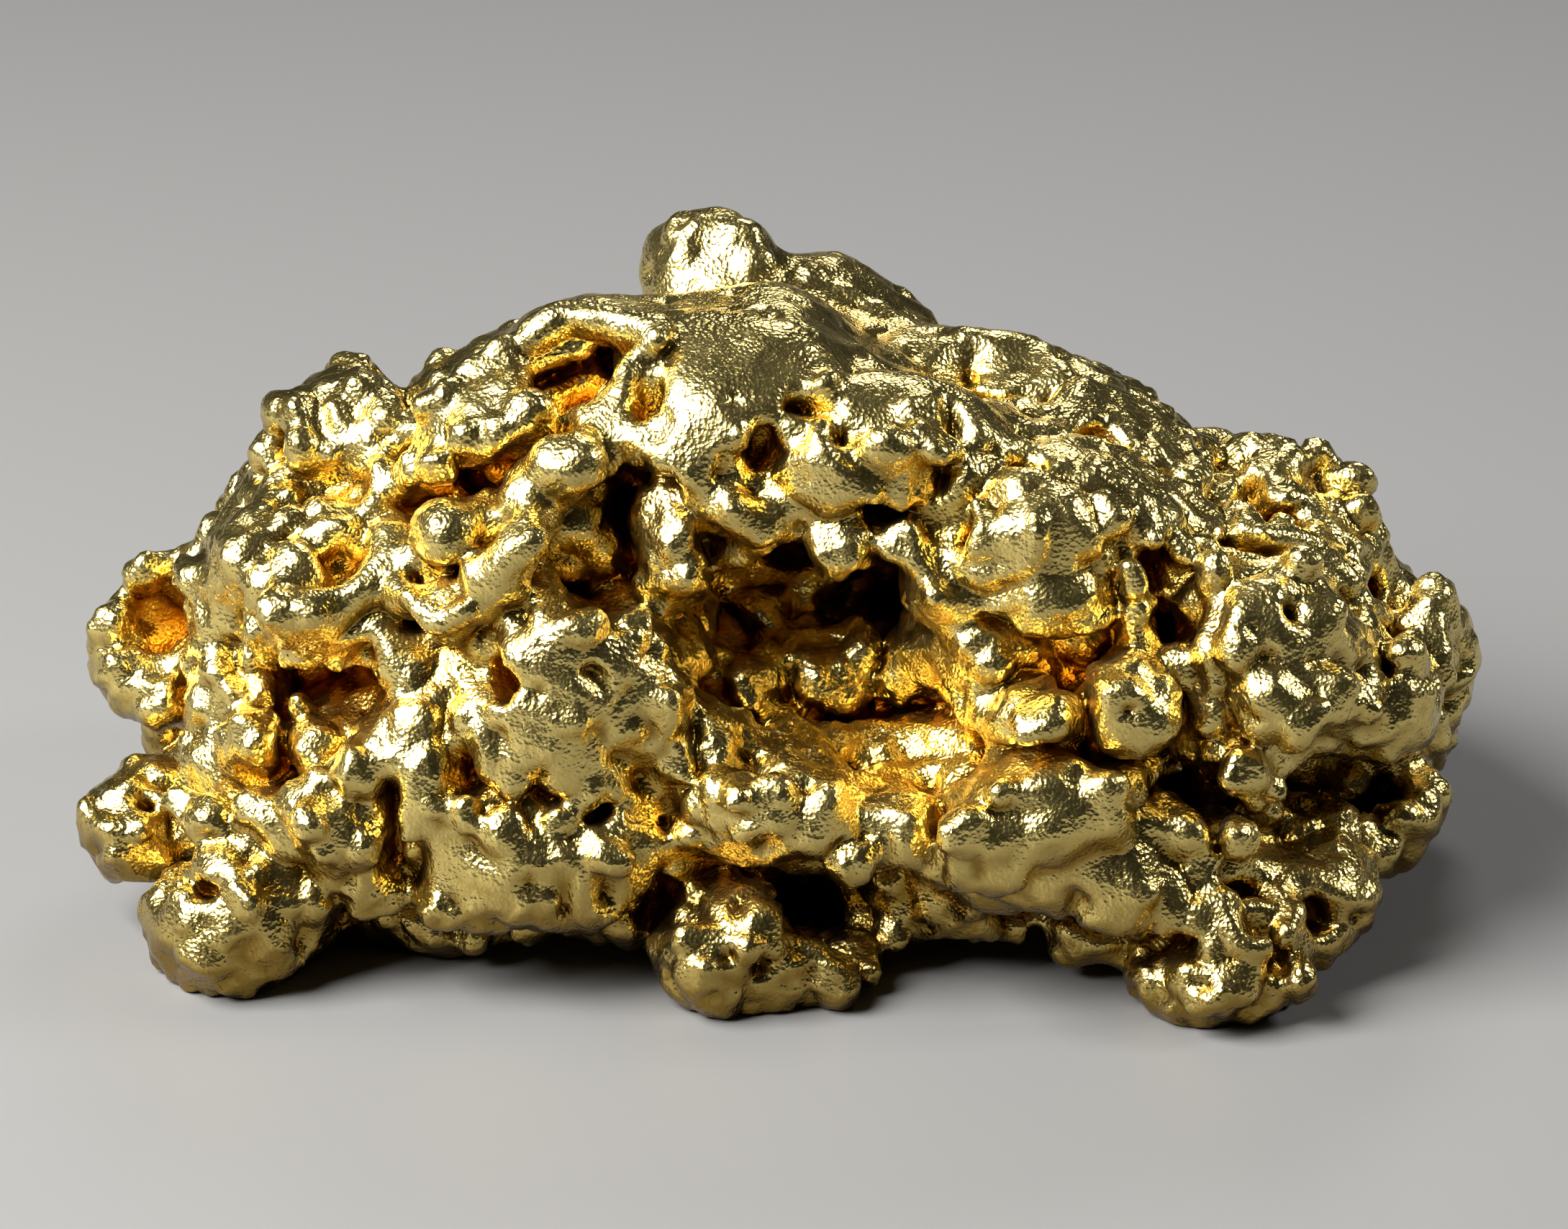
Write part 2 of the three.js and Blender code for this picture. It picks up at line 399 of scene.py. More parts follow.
def sowing_tree():
    """Geometry Nodes that sow small plugs over a surface, no closer than a spacing."""
    tree = bpy.data.node_groups.new("sow_plugs", "GeometryNodeTree")
    face = tree.interface
    face.new_socket("Geometry", in_out="INPUT", socket_type="NodeSocketGeometry")
    for name in ("Spacing", "Smallest", "Largest"):
        face.new_socket(name, in_out="INPUT", socket_type="NodeSocketFloat")
    face.new_socket("Seed", in_out="INPUT", socket_type="NodeSocketInt")
    face.new_socket("Finish", in_out="INPUT", socket_type="NodeSocketMaterial")
    face.new_socket("Geometry", in_out="OUTPUT", socket_type="NodeSocketGeometry")
    made = {
        name: tree.nodes.new(kind)
        for name, kind in {
            "given": "NodeGroupInput",
            "spread": "GeometryNodeDistributePointsOnFaces",
            "size": "FunctionNodeRandomValue",
            "turn": "FunctionNodeRandomValue",
            "spin": "FunctionNodeRotateRotation",
            "plug": "GeometryNodeMeshIcoSphere",
            "put": "GeometryNodeInstanceOnPoints",
            "solid": "GeometryNodeRealizeInstances",
            "coat": "GeometryNodeSetMaterial",
            "result": "NodeGroupOutput",
        }.items()
    }
    made["spread"].distribute_method = "POISSON"
    made["spread"].inputs["Density Max"].default_value = PLENTY
    made["size"].data_type = "FLOAT_VECTOR"
    made["turn"].data_type = "FLOAT_VECTOR"
    made["turn"].inputs["Min"].default_value = (0, 0, 0)
    made["turn"].inputs["Max"].default_value = (0, 0, 2 * math.pi)
    made["spin"].rotation_space = "LOCAL"
    made["plug"].inputs["Subdivisions"].default_value = 1

    def link(source, out, target, into):
        tree.links.new(made[source].outputs[out], made[target].inputs[into])

    link("given", "Geometry", "spread", "Mesh")
    link("given", "Spacing", "spread", "Distance Min")
    link("given", "Seed", "spread", "Seed")
    link("given", "Seed", "size", "Seed")
    link("given", "Seed", "turn", "Seed")
    link("given", "Smallest", "size", "Min")
    link("given", "Largest", "size", "Max")
    link("spread", "Points", "put", "Points")
    link("spread", "Rotation", "spin", "Rotation")
    link("turn", "Value", "spin", "Rotate By")
    link("spin", "Rotation", "put", "Rotation")
    link("size", "Value", "put", "Scale")
    link("plug", "Mesh", "put", "Instance")
    link("put", "Instances", "solid", "Geometry")
    link("solid", "Geometry", "coat", "Geometry")
    link("given", "Finish", "coat", "Material")
    link("coat", "Geometry", "result", "Geometry")
    return tree


def set_inputs(modifier, values):
    """Sets a Geometry Nodes modifier's inputs, given by name, through their identifiers."""
    for item in modifier.node_group.interface.items_tree:
        if item.in_out == "INPUT" and item.name in values:
            modifier[item.identifier] = values[item.name]


def sown(surface, tree, spacing, smallest, largest, seed, finish):
    """Sows plugs on a surface. Each gives its middle, and a half-size in millimetres
    as a step out of the surface."""
    sower = surface.modifiers.new("sow", "NODES")
    sower.node_group = tree
    set_inputs(
        sower,
        {
            "Spacing": spacing * MM,
            "Smallest": smallest * MM,
            "Largest": largest * MM,
            "Seed": SEED + seed,
            "Finish": finish,
        },
    )
    seen = surface.evaluated_get(bpy.context.evaluated_depsgraph_get())
    mesh = bpy.data.meshes.new_from_object(seen)
    surface.modifiers.clear()
    places = np.empty(len(mesh.vertices) * 3, dtype=np.float32)
    mesh.vertices.foreach_get("co", places)
    bpy.data.meshes.remove(mesh)
    plugs = places.reshape(-1, PLUG_CORNERS, 3) / MM
    return [(plug.mean(axis=0), (plug[-1] - plug[0]) / 2) for plug in plugs]


# ---------------------------------------------------------------- the steep face


def on_face(clay, across, up):
    """Where a line square to the leaning face first meets the clay, and the way out
    of the clay there."""
    start = Vector((across, 0, 0)) + FACE_UP * up - FACE_IN * FACE_START
    steps = np.arange(0, 2 * FACE_START, CELL / 2)[:, None]
    line = np.array(start) + steps * np.array(FACE_IN)
    inside = clay.sample(clay.values, line) < 0
    if not inside.any():
        raise ValueError(f"no clay at {across}, {up}")
    hit = line[inside.argmax()]
    sides = (-FACE_PROBE, FACE_PROBE)
    around = hit + np.array([side * axis for axis in np.eye(3) for side in sides])
    near = clay.sample(clay.values, around)
    out = Vector((near[1] - near[0], near[3] - near[2], near[5] - near[4]))
    out = out.normalized() - FACE_SHARE * FACE_IN
    return Vector(hit), out.normalized()


# Lobes and knobs: across, up, half-width, half-height, how proud, turn in degrees.
KNOBS = [
    # knob at the upper left
    (-6.5, 6.5, 0.85, 0.6, 0.2, 0),
    (-6.75, 6.5, 0.24, 0.26, 0.1, 0),
    (-6.3, 6.35, 0.17, 0.34, 0.22, 25),
    (-5.95, 6.75, 0.22, 0.2, 0.18, 0),
    (-5.7, 6.45, 0.2, 0.26, 0.18, 0),
    (-6.75, 5.85, 0.16, 0.42, 0.22, 10),
    (-6.4, 5.82, 0.15, 0.15, 0.18, 0),
    (-5.85, 6.0, 0.16, 0.24, 0.18, 0),
    (-5.55, 5.6, 0.17, 0.17, 0.18, 0),
    (-7.1, 5.45, 0.14, 0.36, 0.2, -40),
    (-6.9, 4.85, 0.22, 0.34, 0.2, 30),
    (-5.95, 5.12, 0.4, 0.17, 0.24, -25),
    # left shoulder of the crest
    (-4.15, 7.0, 0.6, 0.22, 0.26, 32),
    (-4.75, 6.55, 0.3, 0.22, 0.2, 20),
    (-3.5, 6.4, 0.32, 0.26, 0.3, 20),
    (-4.1, 6.1, 0.5, 0.18, 0.2, 10),
    (-4.7, 5.75, 0.16, 0.3, 0.24, -30),
    (-3.4, 5.76, 0.27, 0.22, 0.3, 20),
    (-2.7, 5.95, 0.15, 0.15, 0.2, 0),
    # swirl under the knob
    (-6.75, 4.0, 0.5, 0.46, 0.34, 0),
    (-6.15, 4.45, 0.2, 0.14, 0.16, 0),
    (-5.9, 4.25, 0.12, 0.12, 0.14, 0),
    (-7.5, 4.4, 0.24, 0.4, 0.2, 0),
    (-6.8, 3.3, 0.22, 0.16, 0.18, 0),
    # peak
    (-1.0, 8.95, 0.7, 0.5, 0.16, -8),
    (-1.35, 8.85, 0.34, 0.28, 0.14, 0),
    (-0.4, 8.7, 0.34, 0.3, 0.14, 0),
    (0.35, 8.5, 0.28, 0.28, 0.16, 0),
    (1.35, 7.95, 0.7, 0.2, 0.14, -35),
    # left end
    (-8.95, 3.1, 1.0, 1.0, 0.3, 0),
    (-9.6, 3.25, 0.2, 0.32, 0.24, 0),
    (-8.3, 4.05, 0.4, 0.22, 0.2, -10),
    (-8.37, 3.45, 0.14, 0.16, 0.2, 0),
    (-8.02, 3.35, 0.15, 0.3, 0.24, 0),
    (-7.56, 3.4, 0.18, 0.16, 0.2, 0),
    (-8.07, 2.7, 0.27, 0.22, 0.26, 0),
    (-8.0, 2.25, 0.2, 0.38, 0.26, 0),
    (-8.95, 2.3, 0.22, 0.34, 0.22, -15),
    (-9.4, 2.45, 0.22, 0.22, 0.16, 0),
    (-7.56, 2.5, 0.18, 0.22, 0.2, 0),
    (-7.56, 1.9, 0.24, 0.18, 0.2, 0),
    (-6.85, 2.15, 0.17, 0.13, 0.2, 0),
    (-8.4, 1.85, 0.4, 0.2, 0.16, 0),
    # lower left
    (-9.35, 1.6, 0.16, 0.5, 0.14, 0),
    (-9.4, 0.75, 0.2, 0.22, 0.18, 0),
    (-8.7, -0.5, 0.22, 0.16, 0.2, 20),
    (-7.85, -0.58, 0.18, 0.14, 0.18, 0),
    (-7.75, 0.22, 0.17, 0.17, 0.2, 0),
    (-8.25, 0.45, 0.36, 0.15, 0.18, 0),
    (-7.5, -0.2, 0.14, 0.3, 0.2, 15),
    (-7.25, 0.8, 0.3, 0.16, 0.18, -20),
    (-8.1, -1.25, 0.4, 0.16, 0.16, -10),
    (-6.35, 0.68, 0.52, 0.25, 0.3, 14),
    (-5.9, 1.25, 0.2, 0.2, 0.2, 0),
    (-5.58, 2.35, 0.34, 0.42, 0.34, -20),
    (-4.9, 2.05, 0.3, 0.28, 0.26, 0),
    (-4.3, 2.15, 0.22, 0.18, 0.2, 0),
    (-2.45, 0.3, 0.24, 0.24, 0.24, 20),
    (-3.55, -0.05, 0.24, 0.16, 0.16, 0),
    # left of the great cavity
    (-1.62, 5.15, 0.26, 0.16, 0.24, 20),
    (-1.05, 5.15, 0.14, 0.18, 0.18, 0),
    (-1.9, 3.9, 0.15, 0.2, 0.16, 0),
    (-2.0, 3.35, 0.2, 0.32, 0.2, -20),
    (-2.7, 3.35, 0.3, 0.22, 0.16, 20),
    (-1.55, 2.35, 0.3, 0.12, 0.2, -15),
    (-0.85, 1.68, 0.2, 0.2, 0.24, 0),
    (-1.35, 1.1, 0.22, 0.15, 0.2, 10),
    (-1.96, 1.54, 0.13, 0.16, 0.16, 0),
    (-2.7, 4.6, 0.6, 0.42, 0.25, -40),
    (-2.3, 4.3, 0.34, 0.26, 0.2, 0),
    # sill of the great cavity
    (0.05, 3.12, 0.13, 0.14, 0.28, 0),
    (0.04, 2.52, 0.15, 0.3, 0.34, 0),
    (-0.28, 2.7, 0.16, 0.1, 0.22, 15),
    (0.04, 1.8, 0.16, 0.26, 0.2, -35),
    (0.73, 2.17, 0.14, 0.15, 0.24, 0),
    (0.65, 0.7, 0.46, 0.5, 0.26, 0),
    (-0.35, 1.2, 0.36, 0.24, 0.18, 0),
    (1.78, 3.04, 0.13, 0.15, 0.3, 0),
    (2.0, 2.7, 0.24, 0.14, 0.3, 0),
    (2.56, 3.25, 0.17, 0.36, 0.3, 20),
    (3.0, 2.85, 0.18, 0.18, 0.24, 0),
    (1.84, 1.67, 0.15, 0.12, 0.2, 0),
    (2.2, 1.2, 0.2, 0.24, 0.22, 0),
    (1.35, 0.35, 0.17, 0.14, 0.2, 0),
    (1.9, 0.3, 0.15, 0.3, 0.2, 0),
    # brow
    (0.95, 5.55, 0.85, 0.42, 0.3, 5),
    (1.8, 6.4, 0.12, 0.27, 0.18, 0),
    (2.05, 6.45, 0.12, 0.27, 0.18, 0),
    (0.65, 6.75, 0.14, 0.3, 0.2, -35),
    (1.2, 7.0, 0.2, 0.16, 0.12, 0),
    # smooth lobe right of the brow
    (4.15, 3.3, 0.5, 0.4, 0.45, 0),
    (3.75, 3.8, 0.95, 0.6, 0.75, 0),
    (3.2, 4.6, 1.15, 0.95, 0.4, 0),
    # pair of smooth lobes over the great front lobe
    (3.6, 2.15, 0.62, 0.48, 0.4, 12),
    (4.78, 2.25, 0.5, 0.62, 0.42, 0),
    # great front lobe
    (3.75, 0.85, 1.15, 0.85, 0.75, 0),
    (2.9, 0.3, 0.6, 0.6, 0.55, 0),
    (5.3, 0.5, 0.7, 0.5, 0.6, -25),
    (2.5, 0.35, 0.28, 0.6, 0.3, -15),
    (2.3, -0.5, 0.5, 0.24, 0.16, 10),
    # right shoulder
    (6.9, 3.1, 0.85, 1.1, 0.45, -12),
    (7.3, 2.4, 0.9, 0.45, 0.45, 0),
    (6.3, 3.3, 0.24, 0.55, 0.22, -10),
    (7.55, 3.45, 0.24, 0.34, 0.2, -15),
    (7.65, 2.98, 0.22, 0.2, 0.18, 0),
    # cluster left of the right shoulder
    (6.1, 4.05, 0.2, 0.26, 0.24, 0),
    (5.75, 2.95, 0.18, 0.3, 0.3, 0),
    (4.95, 3.9, 0.16, 0.2, 0.24, 0),
    (4.95, 3.3, 0.15, 0.3, 0.24, 0),
    # beads in the cavity under the right shoulder
    (6.48, 1.4, 0.42, 0.32, 0.7, 0),
    (6.7, 0.72, 0.34, 0.32, 0.6, 0),
    (6.2, 0.42, 0.28, 0.24, 0.5, 0),
    (7.3, 0.5, 0.2, 0.2, 0.4, 0),
    # right end
    (9.35, 3.25, 0.32, 0.8, 0.35, 0),
    (8.78, 2.45, 0.38, 0.5, 0.3, 0),
    (9.45, 1.95, 0.32, 0.5, 0.22, 0),
    (8.55, 3.65, 0.24, 0.17, 0.24, -10),
    (8.7, 2.95, 0.18, 0.14, 0.22, 0),
    (8.95, 0.62, 0.44, 0.2, 0.3, -15),
    (8.5, 0.1, 0.34, 0.24, 0.3, -35),
    (7.95, 5.2, 0.44, 0.46, 0.2, 0),
    # feet
    (6.5, -1.5, 0.7, 0.5, 0.2, 0),
    (5.85, -0.25, 0.26, 0.24, 0.2, -20),
    (-1.16, -0.95, 0.3, 0.12, 0.2, 0),
    (-1.2, -0.32, 0.22, 0.2, 0.24, 20),
    (-0.55, -0.55, 0.28, 0.24, 0.26, 0),
    (1.55, -0.97, 0.14, 0.14, 0.2, 0),
]

# Round-backed ridges: thickness, then the points that they pass, across and up.
RIDGES = [
    # long bright fold down the left, and its neighbour
    (0.36, (-2.75, 5.75), (-3.32, 5.0), (-3.66, 4.5), (-4.0, 4.05), (-4.4, 3.6)),
    (0.36, (-4.25, 4.65), (-4.66, 4.3), (-5.1, 3.8)),
    (0.13, (-5.1, 3.8), (-4.7, 3.45), (-4.3, 3.6)),
    (0.08, (-4.6, 4.0), (-4.3, 4.1), (-4.25, 3.85)),
    # rim of the pit under the crest
    (0.24, (-3.4, 7.35), (-2.9, 7.6), (-2.35, 7.55), (-1.7, 7.4)),
    (0.13, (-1.7, 7.4), (-2.0, 7.05), (-2.15, 6.8)),
    # hook of the swirl
    (0.3, (-6.75, 3.6), (-6.28, 3.55), (-5.83, 3.75), (-5.5, 4.15), (-5.4, 4.6)),
    (0.1, (-6.4, 4.75), (-6.05, 4.7), (-5.8, 4.5)),
    # worms on the brow
    (0.1, (0.75, 6.55), (0.6, 6.15), (0.55, 5.85), (0.72, 5.55), (1.1, 5.4)),
    (0.1, (-0.58, 6.05), (-0.5, 5.6), (-0.23, 5.38), (0.05, 5.4)),
    (0.12, (1.9, 6.05), (2.15, 5.75), (2.4, 5.6), (2.28, 5.2), (2.06, 4.93), (1.78, 4.7)),
    # thin lip round the holes of the great cavity
    (0.05, (-1.2, 4.32), (-0.9, 4.45), (-0.67, 4.32), (-0.45, 4.08), (-0.32, 4.26)),
    (0.05, (-0.32, 4.26), (-0.37, 4.65), (-0.17, 4.9), (0.22, 5.0), (0.78, 4.95)),
    (0.06, (1.17, 4.93), (1.3, 4.4), (1.7, 4.08), (2.35, 4.1), (2.6, 3.85), (3.2, 3.6)),
    # curls on the smooth lobe
    (0.13, (2.72, 5.0), (2.8, 4.75), (2.7, 4.45)),
    (0.11, (3.5, 4.85), (3.52, 4.5), (3.35, 4.25), (3.05, 4.15)),
    # bright top edges of the pair
    (0.1, (3.65, 2.95), (3.72, 2.6), (3.4, 2.4), (3.0, 2.2)),
    (0.1, (4.4, 2.65), (4.7, 2.8), (5.0, 2.75), (5.3, 2.45)),
    # ridges beside the upright slot
    (0.13, (4.45, 5.05), (4.7, 4.7), (4.8, 4.3), (4.9, 3.7), (5.0, 3.0), (5.2, 2.4)),
    (0.12, (6.0, 4.1), (6.1, 3.6), (5.9, 3.1), (6.0, 2.5), (5.95, 2.05)),
    # worms above the right shoulder
    (0.12, (5.4, 5.15), (5.7, 4.82), (6.0, 4.68)),
    (0.13, (6.7, 4.55), (7.15, 4.6), (7.5, 4.45), (7.8, 4.2), (8.05, 3.95)),
    (0.08, (4.8, 4.6), (5.4, 4.55), (6.0, 4.5)),
    # hoops at the lower right
    (0.13, (6.1, -0.4), (6.2, -0.85), (6.5, -1.05), (6.85, -0.95), (7.1, -0.6)),
    (0.08, (5.9, 0.1), (6.2, 0.0), (6.6, 0.0), (6.9, -0.2)),
    (0.1, (7.1, 0.1), (7.5, -0.2), (7.95, -0.45), (8.25, -0.35)),
    (0.1, (7.8, 0.6), (8.1, 0.35), (8.3, 0.15)),
    (0.09, (8.35, 0.95), (8.5, 1.3), (8.9, 1.35), (9.15, 1.05), (9.1, 0.75)),
    (0.07, (6.05, 1.5), (6.15, 1.05), (6.45, 0.9)),
    # lower left
    (0.1, (-4.6, 1.2), (-4.37, 0.9), (-4.25, 0.65), (-3.6, 0.5), (-3.0, 0.5), (-2.7, 0.4)),
    (0.09, (-5.12, 1.1), (-5.1, 0.6), (-5.1, 0.2), (-5.3, 0.0)),
    (0.09, (-2.8, 1.75), (-2.1, 1.5), (-1.95, 1.0)),
    (0.09, (-7.35, 0.07), (-7.1, -0.2), (-6.8, -0.5)),
    (0.07, (-2.4, 0.0), (-2.6, -0.35), (-2.85, -0.7)),
    (0.09, (0.95, 1.45), (1.15, 1.15), (1.05, 0.55)),
    (0.08, (1.2, 1.75), (1.7, 1.5), (2.3, 1.5), (2.8, 1.7)),
]

# Pits: across, up, half-width, half-height, depth, turn in degrees, lip.
PITS = [
    # under the crest and the left shoulder
    (-2.52, 7.08, 0.26, 0.3, 0.9, 0, 0.0),
    (-3.15, 6.85, 0.5, 0.18, 0.7, 30, 0.0),
    (-3.7, 5.5, 0.32, 0.18, 0.6, 10, 0.0),
    (-4.3, 5.45, 0.24, 0.2, 0.7, 0, 0.0),
    (-5.25, 5.88, 0.28, 0.14, 0.5, 0, 0.0),
    (-1.82, 6.5, 0.26, 0.26, 0.5, 0, 0.0),
    (-2.2, 5.05, 0.22, 0.36, 0.9, -20, 0.0),
    (-1.95, 5.6, 0.22, 0.2, 0.5, 0, 0.0),
    (-1.5, 5.42, 0.14, 0.12, 0.4, 0, 0.0),
    (-2.82, 3.85, 0.44, 0.2, 0.7, 0, 0.05),
    (-3.85, 4.72, 0.1, 0.3, 0.5, -35, 0.0),
    (-4.45, 3.88, 0.15, 0.12, 0.25, 0, 0.0),
    (-5.15, 3.45, 0.14, 0.14, 0.4, 0, 0.0),
    # swirl
    (-6.05, 4.2, 0.4, 0.36, 0.5, 0, 0.0),
    (-5.1, 4.1, 0.12, 0.14, 0.4, 0, 0.0),
    # great cavity
    (0.18, 4.52, 0.47, 0.4, 1.8, 0, 0.0),
    (-0.88, 4.08, 0.3, 0.26, 1.1, -15, 0.0),
    (1.4, 4.0, 0.34, 0.32, 1.3, 0, 0.0),
    (2.0, 3.42, 0.32, 0.16, 1.3, 0, 0.0),
    (1.5, 4.92, 0.26, 0.12, 0.8, 0, 0.0),
    (-0.6, 3.3, 0.5, 0.4, 0.4, 0, 0.0),
    (-0.9, 2.5, 0.26, 0.2, 0.6, 0, 0.0),
    (1.5, 2.2, 0.7, 0.3, 0.5, 3, 0.04),
    # brow
    (0.33, 6.42, 0.34, 0.19, 0.6, -5, 0.0),
    (-0.17, 5.88, 0.26, 0.28, 0.5, 0, 0.06),
    (0.85, 5.95, 0.12, 0.14, 0.3, 0, 0.0),
    (-0.15, 7.75, 0.12, 0.16, 0.3, 0, 0.03),
    (2.17, 5.38, 0.09, 0.24, 0.6, -10, 0.0),
    (2.5, 4.76, 0.15, 0.24, 0.6, -20, 0.04),
    (2.4, 6.25, 0.16, 0.4, 0.4, 15, 0.0),
    (2.9, 6.6, 0.4, 0.14, 0.35, -15, 0.0),
    (3.45, 5.6, 0.2, 0.16, 0.4, 0, 0.0),
    (4.6, 5.95, 0.4, 0.2, 0.4, -25, 0.0),
    (5.3, 5.6, 0.34, 0.2, 0.35, -10, 0.0),
    # upright slot
    (5.3, 4.1, 0.22, 0.3, 1.0, 0, 0.0),
    (5.35, 3.3, 0.3, 0.26, 1.1, 0, 0.0),
    (5.5, 2.2, 0.26, 0.5, 1.3, 0, 0.0),
    (5.75, 1.2, 0.4, 0.4, 1.4, 0, 0.0),
    (4.85, 4.5, 0.16, 0.16, 0.4, 0, 0.0),
    # round the right shoulder
    (7.08, 3.58, 0.12, 0.14, 0.4, 0, 0.045),
    (7.62, 2.95, 0.07, 0.07, 0.25, 0, 0.0),
    (7.3, 2.5, 0.12, 0.08, 0.2, -20, 0.0),
    (8.13, 2.72, 0.11, 0.15, 0.5, 0, 0.07),
    (8.1, 2.25, 0.16, 0.12, 0.5, 0, 0.0),
    (6.9, 5.0, 0.3, 0.26, 0.7, 0, 0.0),
    (7.4, 5.0, 0.17, 0.24, 0.8, 0, 0.03),
    (8.67, 3.32, 0.34, 0.2, 0.7, 20, 0.0),
    (8.0, 3.6, 0.12, 0.3, 0.4, 20, 0.0),
    # cavities under the right shoulder
    (7.35, 1.1, 0.34, 0.34, 1.4, 0, 0.0),
    (7.9, 0.85, 0.26, 0.3, 1.2, 0, 0.0),
    (8.7, 1.05, 0.28, 0.22, 0.9, 0, 0.0),
    (6.4, -0.2, 0.34, 0.13, 0.6, 0, 0.0),
    (7.45, -0.65, 0.22, 0.24, 0.6, 0, 0.04),
    (6.6, -0.68, 0.22, 0.2, 0.3, 0, 0.0),
    # left end
    (-7.72, 3.2, 0.1, 0.8, 0.6, 0, 0.0),
    (-9.0, 3.5, 0.55, 0.5, 1.2, 0, 0.1),
    (-8.6, 2.6, 0.16, 0.26, 0.5, 0, 0.0),
    (-7.8, 2.9, 0.13, 0.3, 0.5, 0, 0.0),
    (-6.5, 2.75, 0.5, 0.2, 0.5, 14, 0.0),
    (-5.9, 2.95, 0.3, 0.22, 0.5, 10, 0.0),
    (-6.55, 1.5, 0.3, 0.4, 0.9, 15, 0.0),
    (-7.1, 1.6, 0.1, 0.36, 0.7, 0, 0.0),
    (-8.4, 1.15, 0.36, 0.34, 0.8, 0, 0.0),
    (-5.38, 0.75, 0.15, 0.52, 0.8, 0, 0.0),
    (-4.3, 1.4, 0.16, 0.3, 0.7, 0, 0.0),
    (-3.75, 2.6, 0.18, 0.3, 0.7, 0, 0.0),
    (-2.5, 0.8, 0.28, 0.22, 0.8, 0, 0.0),
    (-3.1, 1.05, 0.36, 0.12, 0.5, -5, 0.0),
    (-1.22, 1.85, 0.06, 0.5, 0.4, 5, 0.0),
    (-0.7, 2.35, 0.2, 0.14, 0.5, 0, 0.0),
    # creases round the smooth lobes
    (3.2, 1.72, 0.5, 0.1, 0.6, 12, 0.0),
    (4.7, 1.55, 0.6, 0.1, 0.6, -8, 0.0),
    (4.22, 2.2, 0.08, 0.5, 0.6, 0, 0.0),
    (3.7, 3.2, 0.9, 0.1, 0.7, -8, 0.0),
    (2.1, 0.75, 0.1, 0.5, 0.6, -10, 0.0),
    (5.95, 0.75, 0.1, 0.4, 0.8, 0, 0.0),
    (7.0, 4.36, 0.6, 0.09, 0.5, -8, 0.0),
    # low on the face
    (-7.9, -0.27, 0.2, 0.18, 0.5, 0, 0.0),
    (-8.48, -0.22, 0.17, 0.14, 0.4, 0, 0.0),
    (-1.75, -0.35, 0.3, 0.4, 0.8, 0, 0.0),
    (0.7, -0.55, 0.5, 0.5, 1.1, 0, 0.0),
    (1.58, 0.1, 0.2, 0.3, 0.9, 0, 0.0),
]

# Caves, wider and deeper than the pits: across, up, half-width, half-height, depth, turn.
CAVES = [
    (0.35, 3.75, 1.8, 0.95, 1.5, -4),
    (1.55, 3.75, 0.75, 0.6, 2.2, -10),
    (1.6, 2.15, 0.95, 0.36, 0.6, 3),
    (7.3, 1.15, 1.6, 0.55, 1.4, -8),
    (5.4, 2.5, 0.33, 1.5, 1.4, 3),
    (5.8, 1.1, 0.6, 0.5, 1.5, 0),
    (0.85, -0.6, 0.85, 0.65, 1.4, 0),
    (-2.9, 6.9, 0.72, 0.3, 0.9, 28),
    (-4.0, 5.5, 0.75, 0.26, 0.5, 8),
    (-2.2, 5.15, 0.34, 0.5, 0.6, -20),
    (-6.2, 2.65, 1.05, 0.4, 0.6, 12),
    (-7.6, 1.3, 1.2, 0.36, 0.9, -4),
    (7.1, 4.95, 0.55, 0.3, 0.5, 0),
    (4.2, -0.95, 1.5, 0.4, 1.1, 0),
    (-4.5, -0.9, 1.5, 0.35, 0.9, 0),
]

# Calm stretches, hammered smooth: across, up, radius.
CALM = [
    (-0.6, 7.2, 1.5),
    (1.2, 6.3, 1.2),
    (0.9, 5.5, 0.9),
    (3.2, 4.7, 1.4),
    (6.9, 3.0, 1.4),
    (3.8, 0.8, 1.7),
    (5.2, 0.5, 0.8),
    (4.7, 2.3, 0.7),
    (3.6, 2.1, 0.7),
    (-2.9, 4.5, 1.1),
    (-3.9, 4.3, 0.8),
    (-6.4, 4.0, 0.9),
    (-4.5, 0.2, 0.6),
    (-6.4, 6.3, 0.9),
    (0.65, 0.7, 0.6),
    (-2.4, 7.5, 0.9),
    (-1.0, 8.8, 1.2),
]


CALM_PATCHES, PATCH_SPACING = 0.3, 1.5  # calm of the random patches, and their spacing
PATCH_START, PATCH_END = 0.6, 1.4  # swell at which such a patch begins, and is at its calmest
CALM_TOP, TOP_START, TOP_END = 0.95, 6.8, 8.0  # calm of the peak, and the heights it grows over
FRONT_DEPTH = 2.5  # how far in front of the middle the listed calm is full

CAVE_SOFT, KNOB_SOFT, RIDGE_SOFT, PIT_SOFT = 0.3, 0.12, 0.1, 0.08  # roundness at the joins
CAVE_SINK = 0.2  # a cave's middle lies this share of its depth under the skin
KNOB_DEPTH = 0.7  # a knob is at least this deep, as a share of its narrower half
THIN_RISE = 0.4  # how far a thin ridge's middle stands out, as a share of its thickness
THICK_RISE, THICK_SINK = 1.2, 0.1  # the same for a thick one, less this many millimetres
PIT_GROWTH = 1.08  # pits are cut a little wide, because wear closes them
PIT_DEPTH, PIT_SINK = 0.75, 0.25  # a pit's half-depth and its middle's, as shares of its depth
LOBE_CALM, MARK_CALM = 0.4, 0.95  # how far lobes, and ridges and pits, are left alone
CHANGE = 0.05  # a cell that a tool moved this far counts in full


